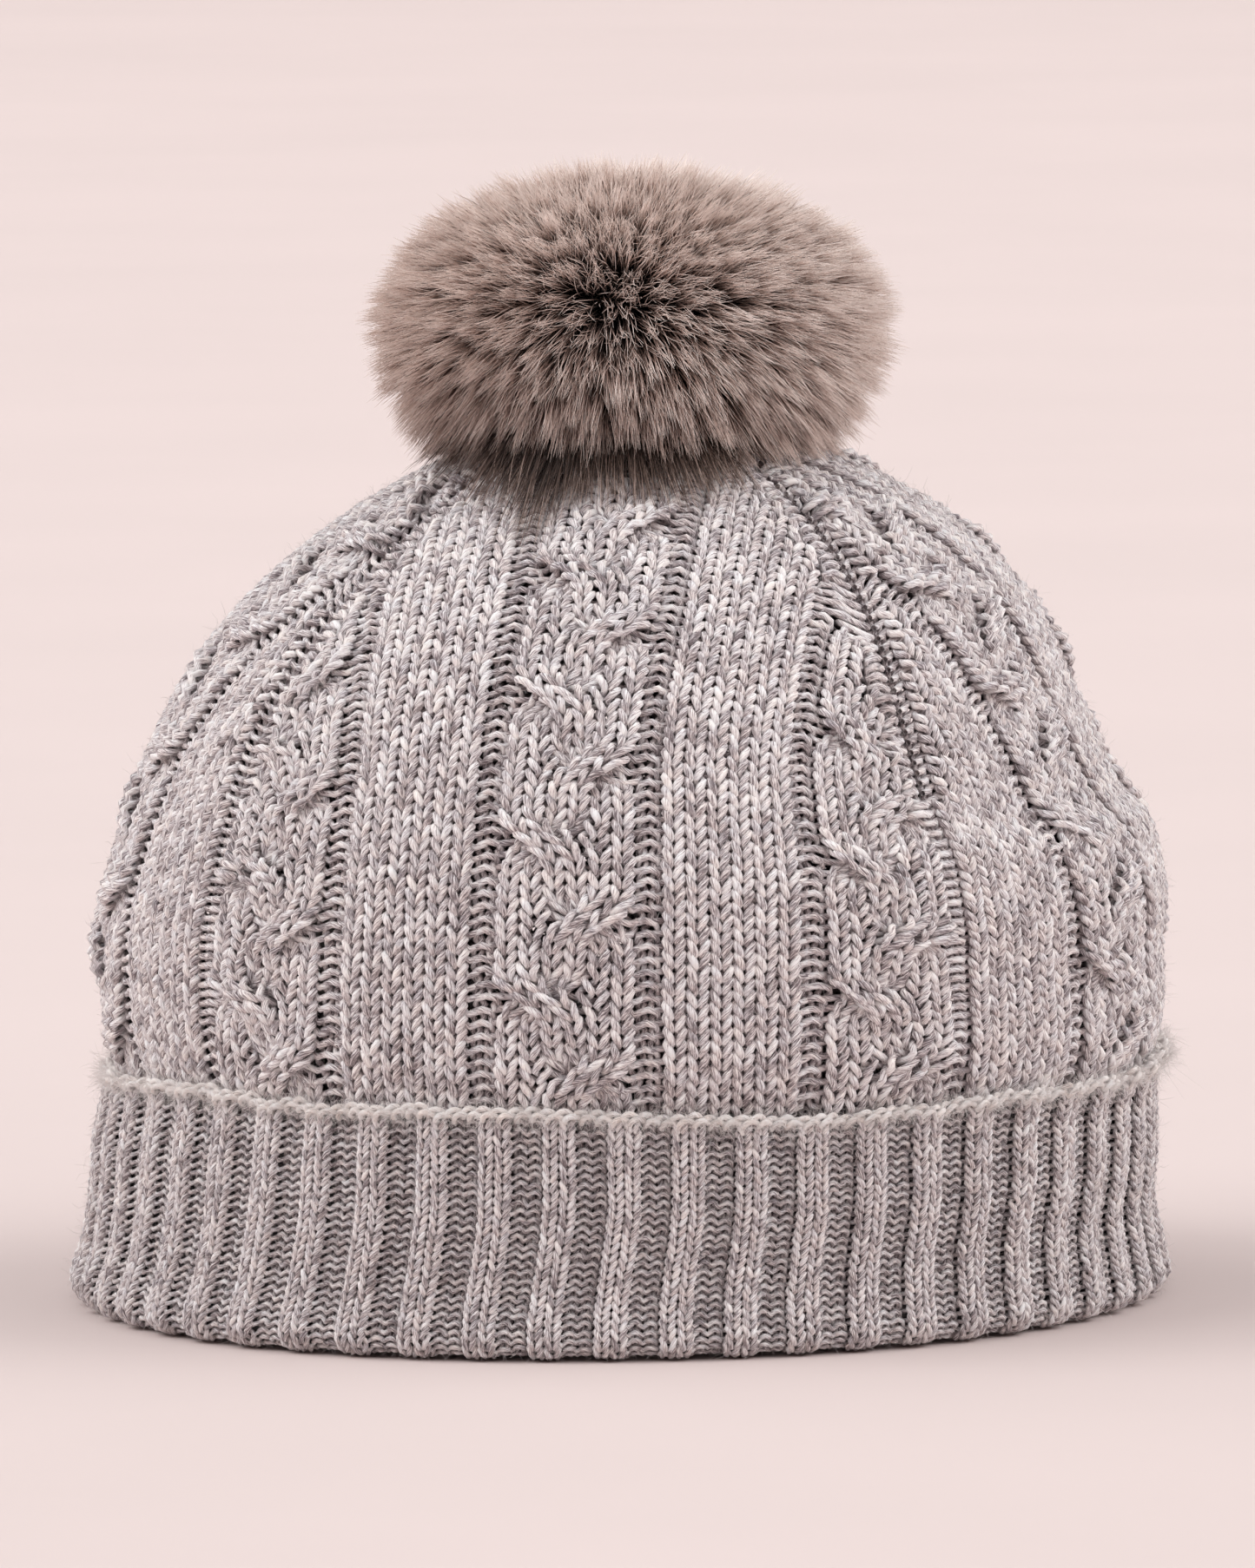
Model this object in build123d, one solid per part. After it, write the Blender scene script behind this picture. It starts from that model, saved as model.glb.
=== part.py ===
from build123d import *

import os
from math import acos, asin, cos, degrees, radians, sin

os.makedirs("parts", exist_ok=True)

# Knitted beanie with a turned-up rib cuff and a fur pompom on a press stud.
# Millimetres, +Z up. The origin is the centre of the rim at the fold of the cuff,
# and the hat's front gore faces -Y.

# ---- Knitted body ----
BODY_RADIUS = 90.5          # widest outer radius, where the dome begins
DOME_BASE = 52.0            # height where the dome begins
DOME_RISE = 97.5            # from the dome's base to the apex
BODY_PLY = 2.4              # thickness of the knitted body
WAIST_RADIUS = 88.2         # outer radius where the body leaves the cuff
DECREASE_START = 87.0       # height where the four decrease lines begin
GORES = ("front", "right", "back", "left")
GATHER_HOLE = 5.4           # hole that the gathering yarn draws in, at the apex
APEX = DOME_BASE + DOME_RISE

# ---- Rib band and turned-up cuff ----
CUFF_HEIGHT = 40.0
RIB_TOP = 41.0              # rib changes to the body pattern just above the cuff
RIB_INNER_RADIUS = 85.6
RIB_OUTER_RADIUS = 88.4
FOLD_HEIGHT = 4.0
FOLD_OUTER_RADIUS = 93.2
FOLD_FLAT = (88.0, 91.0)    # flat underside that the hat stands on, inner and outer radius
CUFF_INNER_RADIUS = 88.9
CUFF_TOP_RADIUS = 91.4
BIND_OFF_THICKNESS = 1.8

# ---- Seams inside the body ----
SEAM_THICKNESS = 1.4
SEAM_ANGLE = 2.2            # width of a linked seam, in degrees round the hat
SEAM_TOP_RADIUS = 14.0
SEAM_GAP = 0.05

# ---- Care label ----
LABEL_WIDTH = 14.0
LABEL_LENGTH = 30.0
LABEL_THICKNESS = 0.6
LABEL_TOP = 64.0
LABEL_OUTER_FACE = 83.8     # distance from the hat's axis
LABEL_STITCH = (10.0, 1.4, 2.0)
LABEL_STITCH_GAP = 0.35

# ---- Press stud, hat half ----
WASHER_RADIUS = 9.0
WASHER_THICKNESS = 1.2
WASHER_TOP = APEX - 3.0
CAP_RADIUS = 6.5
CAP_THICKNESS = 1.0
POST_RADIUS = 1.9
STUD_FLANGE = 0.6
STUD_NECK_RADIUS = 2.3
STUD_HEAD_RADIUS = 2.6
STUD_HEIGHT = 2.7
STUD_SHELL = 0.6
GATHER_YARN = 0.9           # radius of the doubled gathering yarn

# ---- Press stud, pompom half ----
SOCKET_BOTTOM = APEX + 1.1
SOCKET_HEIGHT = 2.6
SOCKET_RADIUS = 5.0
SOCKET_CAVITY = 4.0
SOCKET_MOUTH = 3.0
SOCKET_FLANGE_RADIUS = 6.8
SOCKET_PLATE = 0.6
SOCKET_LIP = 0.35
RING_RADIUS = 3.3
RING_WIRE = 0.35
STITCH_COUNT = 4
STITCH_WIDTH = 1.2
STITCH_REACH = 8.2
STITCH_THICKNESS = 0.4
DISC_RADIUS = 11.0
DISC_THICKNESS = 1.2

# ---- Pompom ----
PELT_RADIUS = 24.0
PELT_CENTRE = 168.5
PELT_RISE = 11.5            # from the pelt's centre to its top
PELT_PLY = 1.2
PELT_NECK_RADIUS = 4.6
PELT_NECK_BOTTOM = 156.0
PELT_UNDERSIDE = (18.0, 159.5)
DRAW_THREAD = (3.6, 0.7)    # radius of its loop and of the thread
STUFFING_GAP = 0.3
FUR_RADIUS = 42.5
FUR_CENTRE = 165.5
FUR_TOP = 192.0
FUR_UNDERSIDE = ((40.0, 156.0), (33.0, 153.6), (24.0, 153.8), (16.0, 155.6))
FUR_GAP = 0.3

SOCKET_TOP = SOCKET_BOTTOM + SOCKET_HEIGHT
DIAGONAL = 45.0             # the decrease lines lie half a gore from its middle


def profile(*edges):
    """Closed face in the XZ plane from edges drawn in (radius, height)."""
    return Plane.XZ * make_face([edge for part in edges for edge in part.edges()])


def turned(*points, arc=360.0):
    """Solid of revolution about Z from a closed outline of (radius, height) points."""
    return revolve(profile(Polyline(*points, close=True)), Axis.Z, arc)


def ring(radius, thickness, height):
    return Pos(0, 0, height) * Torus(radius, thickness)


def disc(radius, bottom, thickness, hole=0.0):
    solid = Pos(0, 0, bottom + thickness / 2) * Cylinder(radius, thickness)
    return solid - Pos(0, 0, bottom + thickness / 2) * Cylinder(hole, 2 * thickness) if hole else solid


def ellipse_point(reach, rise, height, angle, outward=1.0):
    """Point at a parameter angle on an ellipse centred on the axis, at a height."""
    return (reach * cos(radians(angle)) * outward, height + rise * sin(radians(angle)) * outward)


def ellipse_arc(reach, rise, height, start, end):
    """Exact arc of that ellipse, as one rational curve."""
    middle, half = (start + end) / 2, cos(radians(end - start) / 2)
    corner = ellipse_point(reach, rise, height, middle, 1 / half)
    first, last = (ellipse_point(reach, rise, height, angle) for angle in (start, end))
    return Bezier(first, corner, last, weights=[1, half, 1])


def dome_point(depth, angle):
    """Point of the dome's section, depth inside the outer surface."""
    return ellipse_point(BODY_RADIUS - depth, DOME_RISE - depth, DOME_BASE, angle)


def dome_arc(depth, start, end):
    return ellipse_arc(BODY_RADIUS - depth, DOME_RISE - depth, DOME_BASE, start, end)


def angle_at_height(depth, height):
    return degrees(asin((height - DOME_BASE) / (DOME_RISE - depth)))


def angle_at_radius(depth, radius):
    return degrees(acos(radius / (BODY_RADIUS - depth)))


def waist_arc(depth):
    """Side of the body between the cuff and the dome, upright where the dome begins."""
    top = (BODY_RADIUS - depth, DOME_BASE)
    bottom = (WAIST_RADIUS - depth, RIB_TOP)
    return TangentArc(top, bottom, tangent=(0, -1))


def body_wall():
    outer_end = angle_at_height(0, DECREASE_START)
    inner_end = angle_at_height(BODY_PLY, DECREASE_START)
    section = profile(
        waist_arc(0),
        dome_arc(0, 0, outer_end),
        Line(dome_point(0, outer_end), dome_point(BODY_PLY, inner_end)),
        dome_arc(BODY_PLY, 0, inner_end),
        waist_arc(BODY_PLY),
        Line((WAIST_RADIUS - BODY_PLY, RIB_TOP), (WAIST_RADIUS, RIB_TOP)),
    )
    return revolve(section, Axis.Z)


def crown_gore(position):
    """A quarter of the crown, between two decrease lines."""
    starts = [angle_at_height(depth, DECREASE_START) for depth in (0, BODY_PLY)]
    ends = [angle_at_radius(depth, GATHER_HOLE) for depth in (0, BODY_PLY)]
    section = profile(
        dome_arc(0, starts[0], ends[0]),
        Line(dome_point(0, ends[0]), dome_point(BODY_PLY, ends[1])),
        dome_arc(BODY_PLY, starts[1], ends[1]),
        Line(dome_point(BODY_PLY, starts[1]), dome_point(0, starts[0])),
    )
    quarter = 360 / len(GORES)
    return Rot(Z=-90 - quarter / 2 + quarter * position) * revolve(section, Axis.Z, quarter)


def rib_band():
    """Inner layer of the folded rib, which the body is knitted on to."""
    height = RIB_TOP - FOLD_HEIGHT
    band = Cylinder(RIB_OUTER_RADIUS, height) - Cylinder(RIB_INNER_RADIUS, height)
    return Pos(0, 0, FOLD_HEIGHT + height / 2) * band


def cuff_turn_up():
    """Outer layer of the folded rib, with the fold along its bottom edge."""
    inner_flat, outer_flat = FOLD_FLAT
    section = profile(
        Line((inner_flat, 0), (outer_flat, 0)),
        TangentArc((outer_flat, 0), (FOLD_OUTER_RADIUS, FOLD_HEIGHT), tangent=(1, 0)),
        Line((FOLD_OUTER_RADIUS, FOLD_HEIGHT), (CUFF_TOP_RADIUS, CUFF_HEIGHT)),
        Line((CUFF_TOP_RADIUS, CUFF_HEIGHT), (CUFF_INNER_RADIUS, CUFF_HEIGHT)),
        Line((CUFF_INNER_RADIUS, CUFF_HEIGHT), (CUFF_INNER_RADIUS, FOLD_HEIGHT)),
        Line((CUFF_INNER_RADIUS, FOLD_HEIGHT), (RIB_INNER_RADIUS, FOLD_HEIGHT)),
        TangentArc((inner_flat, 0), (RIB_INNER_RADIUS, FOLD_HEIGHT), tangent=(-1, 0)),
    )
    return revolve(section, Axis.Z)


def bind_off_edge():
    """Chained edge along the top of the cuff."""
    radius = (CUFF_INNER_RADIUS + CUFF_TOP_RADIUS) / 2
    return ring(radius, BIND_OFF_THICKNESS / 2, CUFF_HEIGHT + BIND_OFF_THICKNESS / 2)


def seam_on_dome(start_height):
    """Linked seam against the inside of the dome, at azimuth 0."""
    outer = BODY_PLY + SEAM_GAP
    inner = outer + SEAM_THICKNESS
    starts = [angle_at_height(depth, start_height) for depth in (outer, inner)]
    ends = [angle_at_radius(depth, SEAM_TOP_RADIUS) for depth in (outer, inner)]
    section = profile(
        dome_arc(outer, starts[0], ends[0]),
        Line(dome_point(outer, ends[0]), dome_point(inner, ends[1])),
        dome_arc(inner, starts[1], ends[1]),
        Line(dome_point(inner, starts[1]), dome_point(outer, starts[0])),
    )
    return Rot(Z=-SEAM_ANGLE / 2) * revolve(section, Axis.Z, SEAM_ANGLE)


def seam_below_dome():
    """The same seam down the wall and the rib band, at azimuth 0."""
    waist = WAIST_RADIUS - BODY_PLY - SEAM_GAP
    base = BODY_RADIUS - BODY_PLY - SEAM_GAP
    rib = RIB_INNER_RADIUS - SEAM_GAP
    outline = ((rib, FOLD_HEIGHT), (rib, RIB_TOP), (waist, RIB_TOP), (base, DOME_BASE))
    inside = [(radius - SEAM_THICKNESS, height) for radius, height in reversed(outline)]
    return Rot(Z=-SEAM_ANGLE / 2) * turned(*outline, *inside, arc=SEAM_ANGLE)


def side_seam():
    """Seam that closes the flat-knitted body, from the fold up to the crown."""
    return Rot(Z=180 - DIAGONAL) * (seam_below_dome() + seam_on_dome(DOME_BASE))


def dart_seams():
    """Seams of the other three darts, inside their decrease lines."""
    seam = seam_on_dome(DECREASE_START)
    return Compound([Rot(Z=180 - DIAGONAL + turn) * seam for turn in (90, 180, 270)])


def care_label():
    """Blank label, sewn along its top edge beside the side seam."""
    label = Box(LABEL_THICKNESS, LABEL_WIDTH, LABEL_LENGTH)
    centre = (LABEL_OUTER_FACE - LABEL_THICKNESS / 2, 0, LABEL_TOP - LABEL_LENGTH / 2)
    return Rot(Z=180 - DIAGONAL) * Pos(*centre) * label


def label_stitches():
    """Bar of stitches that the label hangs from."""
    width, depth, height = LABEL_STITCH
    centre = (LABEL_OUTER_FACE + LABEL_STITCH_GAP + depth / 2, 0, LABEL_TOP - height / 2)
    return Rot(Z=180 - DIAGONAL) * Pos(*centre) * Box(depth, width, height)


def snap_cap():
    """Cap inside the hat, with the post that goes up through the apex."""
    bottom = WASHER_TOP - WASHER_THICKNESS - CAP_THICKNESS
    post_height = APEX + STUD_HEIGHT - STUD_SHELL - bottom
    return disc(CAP_RADIUS, bottom, CAP_THICKNESS) + disc(POST_RADIUS, bottom, post_height)


def snap_stud():
    """Ball-headed stud on top of the apex, pressed on to the cap's post."""
    top = APEX + STUD_HEIGHT
    neck_end = APEX + STUD_HEIGHT / 2
    return turned(
        (POST_RADIUS, APEX),
        (CAP_RADIUS, APEX),
        (CAP_RADIUS, APEX + STUD_FLANGE),
        (STUD_NECK_RADIUS, APEX + STUD_FLANGE),
        (STUD_NECK_RADIUS, neck_end),
        (STUD_HEAD_RADIUS, neck_end + STUD_SHELL),
        (STUD_NECK_RADIUS, top),
        (0, top),
        (0, top - STUD_SHELL),
        (POST_RADIUS, top - STUD_SHELL),
    )


def snap_socket():
    """Socket of the press stud, with a groove for its ring spring and a sewing flange."""
    plate = SOCKET_TOP - SOCKET_PLATE
    lip = SOCKET_BOTTOM + SOCKET_LIP
    return turned(
        (SOCKET_MOUTH, SOCKET_BOTTOM),
        (SOCKET_RADIUS, SOCKET_BOTTOM),
        (SOCKET_RADIUS, plate),
        (SOCKET_FLANGE_RADIUS, plate),
        (SOCKET_FLANGE_RADIUS, SOCKET_TOP),
        (0, SOCKET_TOP),
        (0, plate),
        (SOCKET_CAVITY, plate),
        (SOCKET_CAVITY, lip),
        (SOCKET_MOUTH, lip),
    )


def socket_stitches():
    """Stitches over the socket's flange, which hold it to the base disc."""
    plate = SOCKET_TOP - SOCKET_PLATE
    over = Pos((SOCKET_RADIUS + 1 + STITCH_REACH) / 2, 0, plate - STITCH_THICKNESS / 2) * Box(
        STITCH_REACH - SOCKET_RADIUS - 1, STITCH_WIDTH, STITCH_THICKNESS
    )
    leg_depth = STITCH_REACH - SOCKET_FLANGE_RADIUS
    leg = Pos(STITCH_REACH - leg_depth / 2, 0, plate + SOCKET_PLATE / 2) * Box(
        leg_depth, STITCH_WIDTH, SOCKET_PLATE
    )
    return Compound([Rot(Z=turn * 360 / STITCH_COUNT) * (over + leg) for turn in range(STITCH_COUNT)])


def pelt_outline(inset):
    """Face of the drawn-up pelt's outer shape, moved inwards by an inset."""
    side, side_height = PELT_UNDERSIDE
    radius = PELT_RADIUS - inset
    rise = PELT_RISE - inset
    neck_bottom = PELT_NECK_BOTTOM + inset
    return profile(
        ellipse_arc(radius, rise, PELT_CENTRE, 0, 90),
        Line((0, PELT_CENTRE + rise), (0, neck_bottom)),
        Line((0, neck_bottom), (PELT_NECK_RADIUS, neck_bottom)),
        Line((PELT_NECK_RADIUS, neck_bottom), (side - inset, side_height + inset)),
        TangentArc((radius, PELT_CENTRE), (side - inset, side_height + inset), tangent=(0, -1)),
    )


def pompom_pelt():
    """Disc of hide drawn up round the stuffing, leather side in, open at its neck."""
    shell = revolve(pelt_outline(0), Axis.Z) - revolve(pelt_outline(PELT_PLY), Axis.Z)
    neck = disc(PELT_NECK_RADIUS, PELT_NECK_BOTTOM - PELT_PLY, 3 * PELT_PLY)
    return shell - neck


def stuffing():
    ball = revolve(pelt_outline(PELT_PLY + STUFFING_GAP), Axis.Z)
    neck = disc(PELT_NECK_RADIUS + STUFFING_GAP, PELT_NECK_BOTTOM - PELT_PLY, 3 * PELT_PLY)
    return ball - neck


def draw_thread():
    """Thread that draws the pelt's neck closed."""
    radius, thickness = DRAW_THREAD
    return ring(radius, thickness, PELT_NECK_BOTTOM + PELT_PLY)


def fur_coat():
    """Space that the hairs fill, from the pelt out to their tips."""
    underside = [(FUR_RADIUS, FUR_CENTRE), *FUR_UNDERSIDE, (0, FUR_UNDERSIDE[-1][1])]
    outer = profile(
        ellipse_arc(FUR_RADIUS, FUR_TOP - FUR_CENTRE, FUR_CENTRE, 0, 90),
        Line((0, FUR_TOP), underside[-1]),
        Polyline(*underside),
    )
    inner = revolve(pelt_outline(-FUR_GAP), Axis.Z)
    side, _ = PELT_UNDERSIDE
    well = disc(side, PELT_NECK_BOTTOM - 2, 8)
    return revolve(outer, Axis.Z) - inner - well


PARTS = {
    "body_wall": body_wall(),
    **{f"crown_gore_{name}": crown_gore(position) for position, name in enumerate(GORES)},
    "rib_band": rib_band(),
    "cuff_turn_up": cuff_turn_up(),
    "bind_off_edge": bind_off_edge(),
    "side_seam": side_seam(),
    "dart_seams": dart_seams(),
    "gather_yarn": ring(GATHER_HOLE - 0.1 - GATHER_YARN, GATHER_YARN, APEX - BODY_PLY / 2),
    "label_stitches": label_stitches(),
    "care_label": care_label(),
    "felt_washer": disc(WASHER_RADIUS, WASHER_TOP - WASHER_THICKNESS, WASHER_THICKNESS, POST_RADIUS),
    "snap_cap": snap_cap(),
    "snap_stud": snap_stud(),
    "ring_spring": ring(RING_RADIUS, RING_WIRE, SOCKET_BOTTOM + 1.0),
    "snap_socket": snap_socket(),
    "socket_stitches": socket_stitches(),
    "base_disc": disc(DISC_RADIUS, SOCKET_TOP, DISC_THICKNESS),
    "pompom_pelt": pompom_pelt(),
    "draw_thread": draw_thread(),
    "stuffing": stuffing(),
    "fur_coat": fur_coat(),
}

for node, solid in PARTS.items():
    export_step(solid, f"parts/{node}.step")
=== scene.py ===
import math
from types import SimpleNamespace as Stitch

import bpy
import numpy as np
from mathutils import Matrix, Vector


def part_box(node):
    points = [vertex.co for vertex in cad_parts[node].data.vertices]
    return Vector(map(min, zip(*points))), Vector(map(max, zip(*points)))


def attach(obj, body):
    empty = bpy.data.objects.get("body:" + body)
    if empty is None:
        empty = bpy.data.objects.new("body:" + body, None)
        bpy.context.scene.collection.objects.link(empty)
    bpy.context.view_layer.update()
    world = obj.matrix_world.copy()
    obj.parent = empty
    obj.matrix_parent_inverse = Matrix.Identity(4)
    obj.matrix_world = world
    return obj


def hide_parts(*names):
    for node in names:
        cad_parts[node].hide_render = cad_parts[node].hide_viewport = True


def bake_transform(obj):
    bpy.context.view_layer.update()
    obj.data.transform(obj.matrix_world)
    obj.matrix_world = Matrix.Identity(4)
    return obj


# Knitted beanie with a fur pompom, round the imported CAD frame. Metres, +Z up, front gore to -Y.

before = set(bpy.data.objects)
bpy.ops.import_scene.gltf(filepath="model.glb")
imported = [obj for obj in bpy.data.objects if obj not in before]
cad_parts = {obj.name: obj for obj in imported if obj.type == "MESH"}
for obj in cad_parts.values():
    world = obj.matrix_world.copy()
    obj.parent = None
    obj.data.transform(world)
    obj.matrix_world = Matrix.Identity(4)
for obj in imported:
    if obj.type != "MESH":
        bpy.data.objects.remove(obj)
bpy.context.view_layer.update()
MM = 0.001
TAU = 2 * math.pi
UP = np.array([0, 0, 1.0])
rng = np.random.default_rng(11)


def span(node):
    low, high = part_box(node)
    return np.array(low), np.array(high)


# ---- Driving sizes, from the frame ----
wall_low, wall_high = span("body_wall")
rib_low, rib_high = span("rib_band")
pelt_low, pelt_high = span("pompom_pelt")
label_low, label_high = span("care_label")
tie_low, tie_high = span("socket_stitches")
seam_low = span("side_seam")[0]
stitch_low = span("label_stitches")[0]
gore_high = span("crown_gore_front")[1]
cuff_high = span("cuff_turn_up")[1]
edge_high = span("bind_off_edge")[1]
fur_high = span("fur_coat")[1]
stuffing_high = span("stuffing")[1]
socket_high = span("snap_socket")[1]

BODY_RADIUS = wall_high[0]
RIB_TOP = wall_low[2]
APEX = gore_high[2]
DOME_BASE = RIB_TOP + 11 * MM
DOME_RISE = APEX - DOME_BASE
WAIST_PULL = 2.3 * MM
CROWN_LEAN = 3.2 * MM
FOOT_SHIFT = 2.6 * MM
DECREASE_START = wall_high[2]

# ---- Yarn and stitches ----
ROW = 2.12 * MM
BODY_YARN = 0.68 * MM
PURL_YARN = 0.58 * MM
RIB_ROW = 1.43 * MM
RIB_YARN = 0.48 * MM
RIB_PURL_YARN = 0.43 * MM
STEPS = 12
SIDES = 6
GORE = math.radians(90)
PANELS = 5
KNITS = 6
KNIT_SHARE = 0.1385
PANEL = GORE / PANELS
KNIT_ANGLE = PANEL * KNIT_SHARE
PURL_ANGLE = PANEL * (1 - KNITS * KNIT_SHARE)
CABLE_ROWS = 12
CABLE_START = 15
CROSSING = 0.40
CABLE_LIFT = 1.45
BODY_DEPTH = 1.15 * MM
BODY_BULGE = 0.72 * MM
PURL_SINK = 0.85 * MM
LINE_PURL = 0.028
CROWN_HOLE = 6 * MM
STEEPEST = 1.55
ROWS_PER_PIECE = 7
# How far a stitch strays, as shares of its width and of a row.
STRAY_SIDE, STRAY_ROW = 0.03, 0.06


def smooth(edge0, edge1, x):
    t = np.clip((x - edge0) / (edge1 - edge0), 0, 1)
    return t * t * (3 - 2 * t)


def unit(vectors):
    return vectors / (np.linalg.norm(vectors, axis=-1, keepdims=True) + 1e-12)


def circle(steps):
    """Angles at equal steps round a circle."""
    return np.linspace(0, TAU, steps, endpoint=False)


def polar(angle, reach, height):
    """Points at an angle from +X, a reach from the axis and a height."""
    return np.stack(np.broadcast_arrays(np.cos(angle) * reach, np.sin(angle) * reach, height), -1)


def lumps(angle, height):
    """Slow unevenness of a soft hat, outwards, in metres."""
    return MM * (
        0.9 * np.sin(2 * angle + 0.6)
        + 0.5 * np.sin(3 * angle + 45 * height + 1.1)
        + 0.4 * np.sin(5 * angle - 60 * height)
    )


# Side (-1 left, 1 right), push outwards, and the heights between which it grows and fades.
SLACK = (
    (-1, -3.0 * MM, (0.025, 0.042), (0.072, 0.046)),
    (-1, -1.2 * MM, (0.050, 0.080), (0.120, 0.090)),
    (1, 1.8 * MM, (0.060, 0.070), (0.086, 0.080)),
    (1, -2.4 * MM, (0.080, 0.089), (0.120, 0.100)),
    (1, -1.8 * MM, (0.010, 0.018), (0.042, 0.034)),
)


def slack(angle, height):
    """Where the hat stands out or hangs in at its left and right, outwards, in metres."""
    push = np.zeros_like(height)
    for side, most, grows, fades in SLACK:
        facing = np.clip(side * np.cos(angle), 0, 1) ** 1.5
        push = push + most * facing * smooth(*grows, height) * smooth(*fades, height)
    return push


def relax(points):
    """Gives the ideal hat the slow unevenness and the lean of a real one."""
    angle = np.arctan2(points[..., 1], points[..., 0])
    height = points[..., 2]
    reach = np.hypot(points[..., 0], points[..., 1])
    push = (lumps(angle, height) + slack(angle, height)) * smooth(0.02, 0.07, reach)
    out = points.copy()
    out[..., 0] += np.cos(angle) * push
    out[..., 1] += np.sin(angle) * push
    out[..., 0] += CROWN_LEAN * smooth(0.095, 0.14, height) * smooth(0.152, 0.14, height)
    out[..., 0] -= FOOT_SHIFT * smooth(0.028, 0.004, height)
    return out


# ---- Tubes of yarn ----
class Yarns:
    """Collects lines of yarn and turns them into one mesh."""

    def __init__(self, name, radius, sides=SIDES):
        self.name, self.radius, self.sides = name, radius, sides
        self.lines = []

    def add(self, points, normals, closed=False, radius=None, sunk=0.0, end=0.15):
        """sunk is how far each point lies behind the front of the fabric, which sets how much shade is
        painted on it, and end how thin an open end is.
        """
        radius = np.broadcast_to(self.radius if radius is None else radius, len(points))
        sunk = np.broadcast_to(sunk, len(points))
        self.lines.append((points, normals, closed, radius, sunk, end))

    def build(self, mat, body, slot, *nodes):
        sides = self.sides
        verts, quads, along, ids, depths = [], [], [], [], []
        turn = (TAU * np.arange(sides) / sides)[:, None]
        offset = 0
        for index, (points, normals, closed, radius, sunk, end) in enumerate(self.lines):
            count = len(points)
            if closed:
                tangent = np.roll(points, -1, 0) - np.roll(points, 1, 0)
            else:
                tangent = np.gradient(points, axis=0)
            tangent = unit(tangent)
            across = unit(np.cross(tangent, normals))
            up = np.cross(across, tangent)
            size = radius.astype(float).copy()
            if not closed:
                size[0] *= end
                size[-1] *= end
            ring = np.cos(turn) * across[:, None] + np.sin(turn) * up[:, None]
            offsets = ring * size[:, None, None]
            verts.append((points[:, None] + offsets).reshape(-1, 3))
            rise = (offsets * normals[:, None]).sum(2)
            depths.append((sunk[:, None] + radius[:, None] - rise).reshape(-1))
            step = np.linalg.norm(np.diff(points, axis=0, append=points[:1]), axis=1)
            length = np.concatenate([[0], np.cumsum(step)])
            segments = count if closed else count - 1
            k = np.repeat(np.arange(segments), sides)
            s = np.tile(np.arange(sides), segments)
            k1 = (k + 1) % count
            s1 = (s + 1) % sides
            corners = [k * sides + s, k1 * sides + s, k1 * sides + s1, k * sides + s1]
            quads.append(offset + np.stack(corners, 1))
            a = np.stack([length[k], length[k + 1], length[k + 1], length[k]], 1) / MM
            b = np.stack([s, s, s + 1, s + 1], 1) / sides
            along.append(np.stack([a, b], 2))
            ids.append(np.stack([np.full(len(k), index), k, s], 1))
            offset += count * sides
        ids = np.concatenate(ids)
        obj = mesh_object(self.name, np.concatenate(verts), np.concatenate(quads), mat)
        fill(obj.data.uv_layers.new(name="yarn").data, "uv", np.concatenate(along))
        bake_layout(obj, ids, 48, sides)
        fill(obj.data.attributes.new("line", "FLOAT", "FACE").data, "value", ids[:, 0] * 0.37 % 1)
        # Depth below the fabric's front, read by the wool materials to paint shade.
        fill(obj.data.attributes.new("depth", "FLOAT", "POINT").data, "value", np.concatenate(depths) / MM)
        return place(obj, body, slot, *nodes)


def fill(items, key, values, kind=np.float32):
    """Sets one property of all of a mesh's items."""
    items.foreach_set(key, np.reshape(values, -1).astype(kind))


def mesh_object(name, verts, quads, mat):
    mesh = bpy.data.meshes.new(name)
    mesh.vertices.add(len(verts))
    fill(mesh.vertices, "co", verts)
    mesh.loops.add(quads.size)
    fill(mesh.loops, "vertex_index", quads, np.int32)
    mesh.polygons.add(len(quads))
    fill(mesh.polygons, "loop_start", np.arange(len(quads)) * 4, np.int32)
    fill(mesh.polygons, "use_smooth", np.ones(len(quads)), bool)
    mesh.update(calc_edges=True)
    mesh.materials.append(mat)
    obj = bpy.data.objects.new(name, mesh)
    bpy.context.scene.collection.objects.link(obj)
    return obj


def place(obj, body, slot, *nodes):
    """Puts a finished piece on its body, in place of its nodes. slot is not used."""
    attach(obj, body)
    if nodes:
        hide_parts(*nodes)
    return obj


def bake_layout(obj, ids, chunk, sides):
    """Lays each length of yarn in its own cell of a square sheet, so that no two overlap."""
    line, k, s = ids.T
    cell = np.unique(line * 100000 + k // chunk, return_inverse=True)[1]
    cells = cell.max() + 1
    columns = max(1, int(math.sqrt(cells * sides / chunk * 2)))
    rows = math.ceil(cells / columns)
    u0 = (k % chunk) / chunk
    u1 = (k % chunk + 1) / chunk
    v0 = s / sides
    v1 = (s + 1) / sides
    corner_u = np.stack([u0, u1, u1, u0], 1) * 0.94 + 0.03
    corner_v = np.stack([v0, v0, v1, v1], 1) * 0.90 + 0.05
    u = ((cell % columns)[:, None] + corner_u) / columns
    v = ((cell // columns)[:, None] + corner_v) / rows
    fill(obj.data.uv_layers.new(name="OFBake").data, "uv", np.stack([u, v], 2))


# ---- Body surface ----
def line_reach(phi):
    """Sideways reach of a gore at a row, on a unit dome."""
    return 1 / np.sqrt(2 + np.tan(phi) ** 2)


def row_angle(row):
    """Angle of a row round a gore's cross axis, 0 at the dome's base."""
    return (row * ROW - (DOME_BASE - RIB_TOP)) / ((BODY_RADIUS + DOME_RISE) / 2)


def line_height(row):
    """Height of a gore's line at a row."""
    phi = max(row_angle(row), 0)
    return DOME_BASE + DOME_RISE * math.sqrt(1 - line_reach(phi) ** 2) * math.sin(phi)


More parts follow.
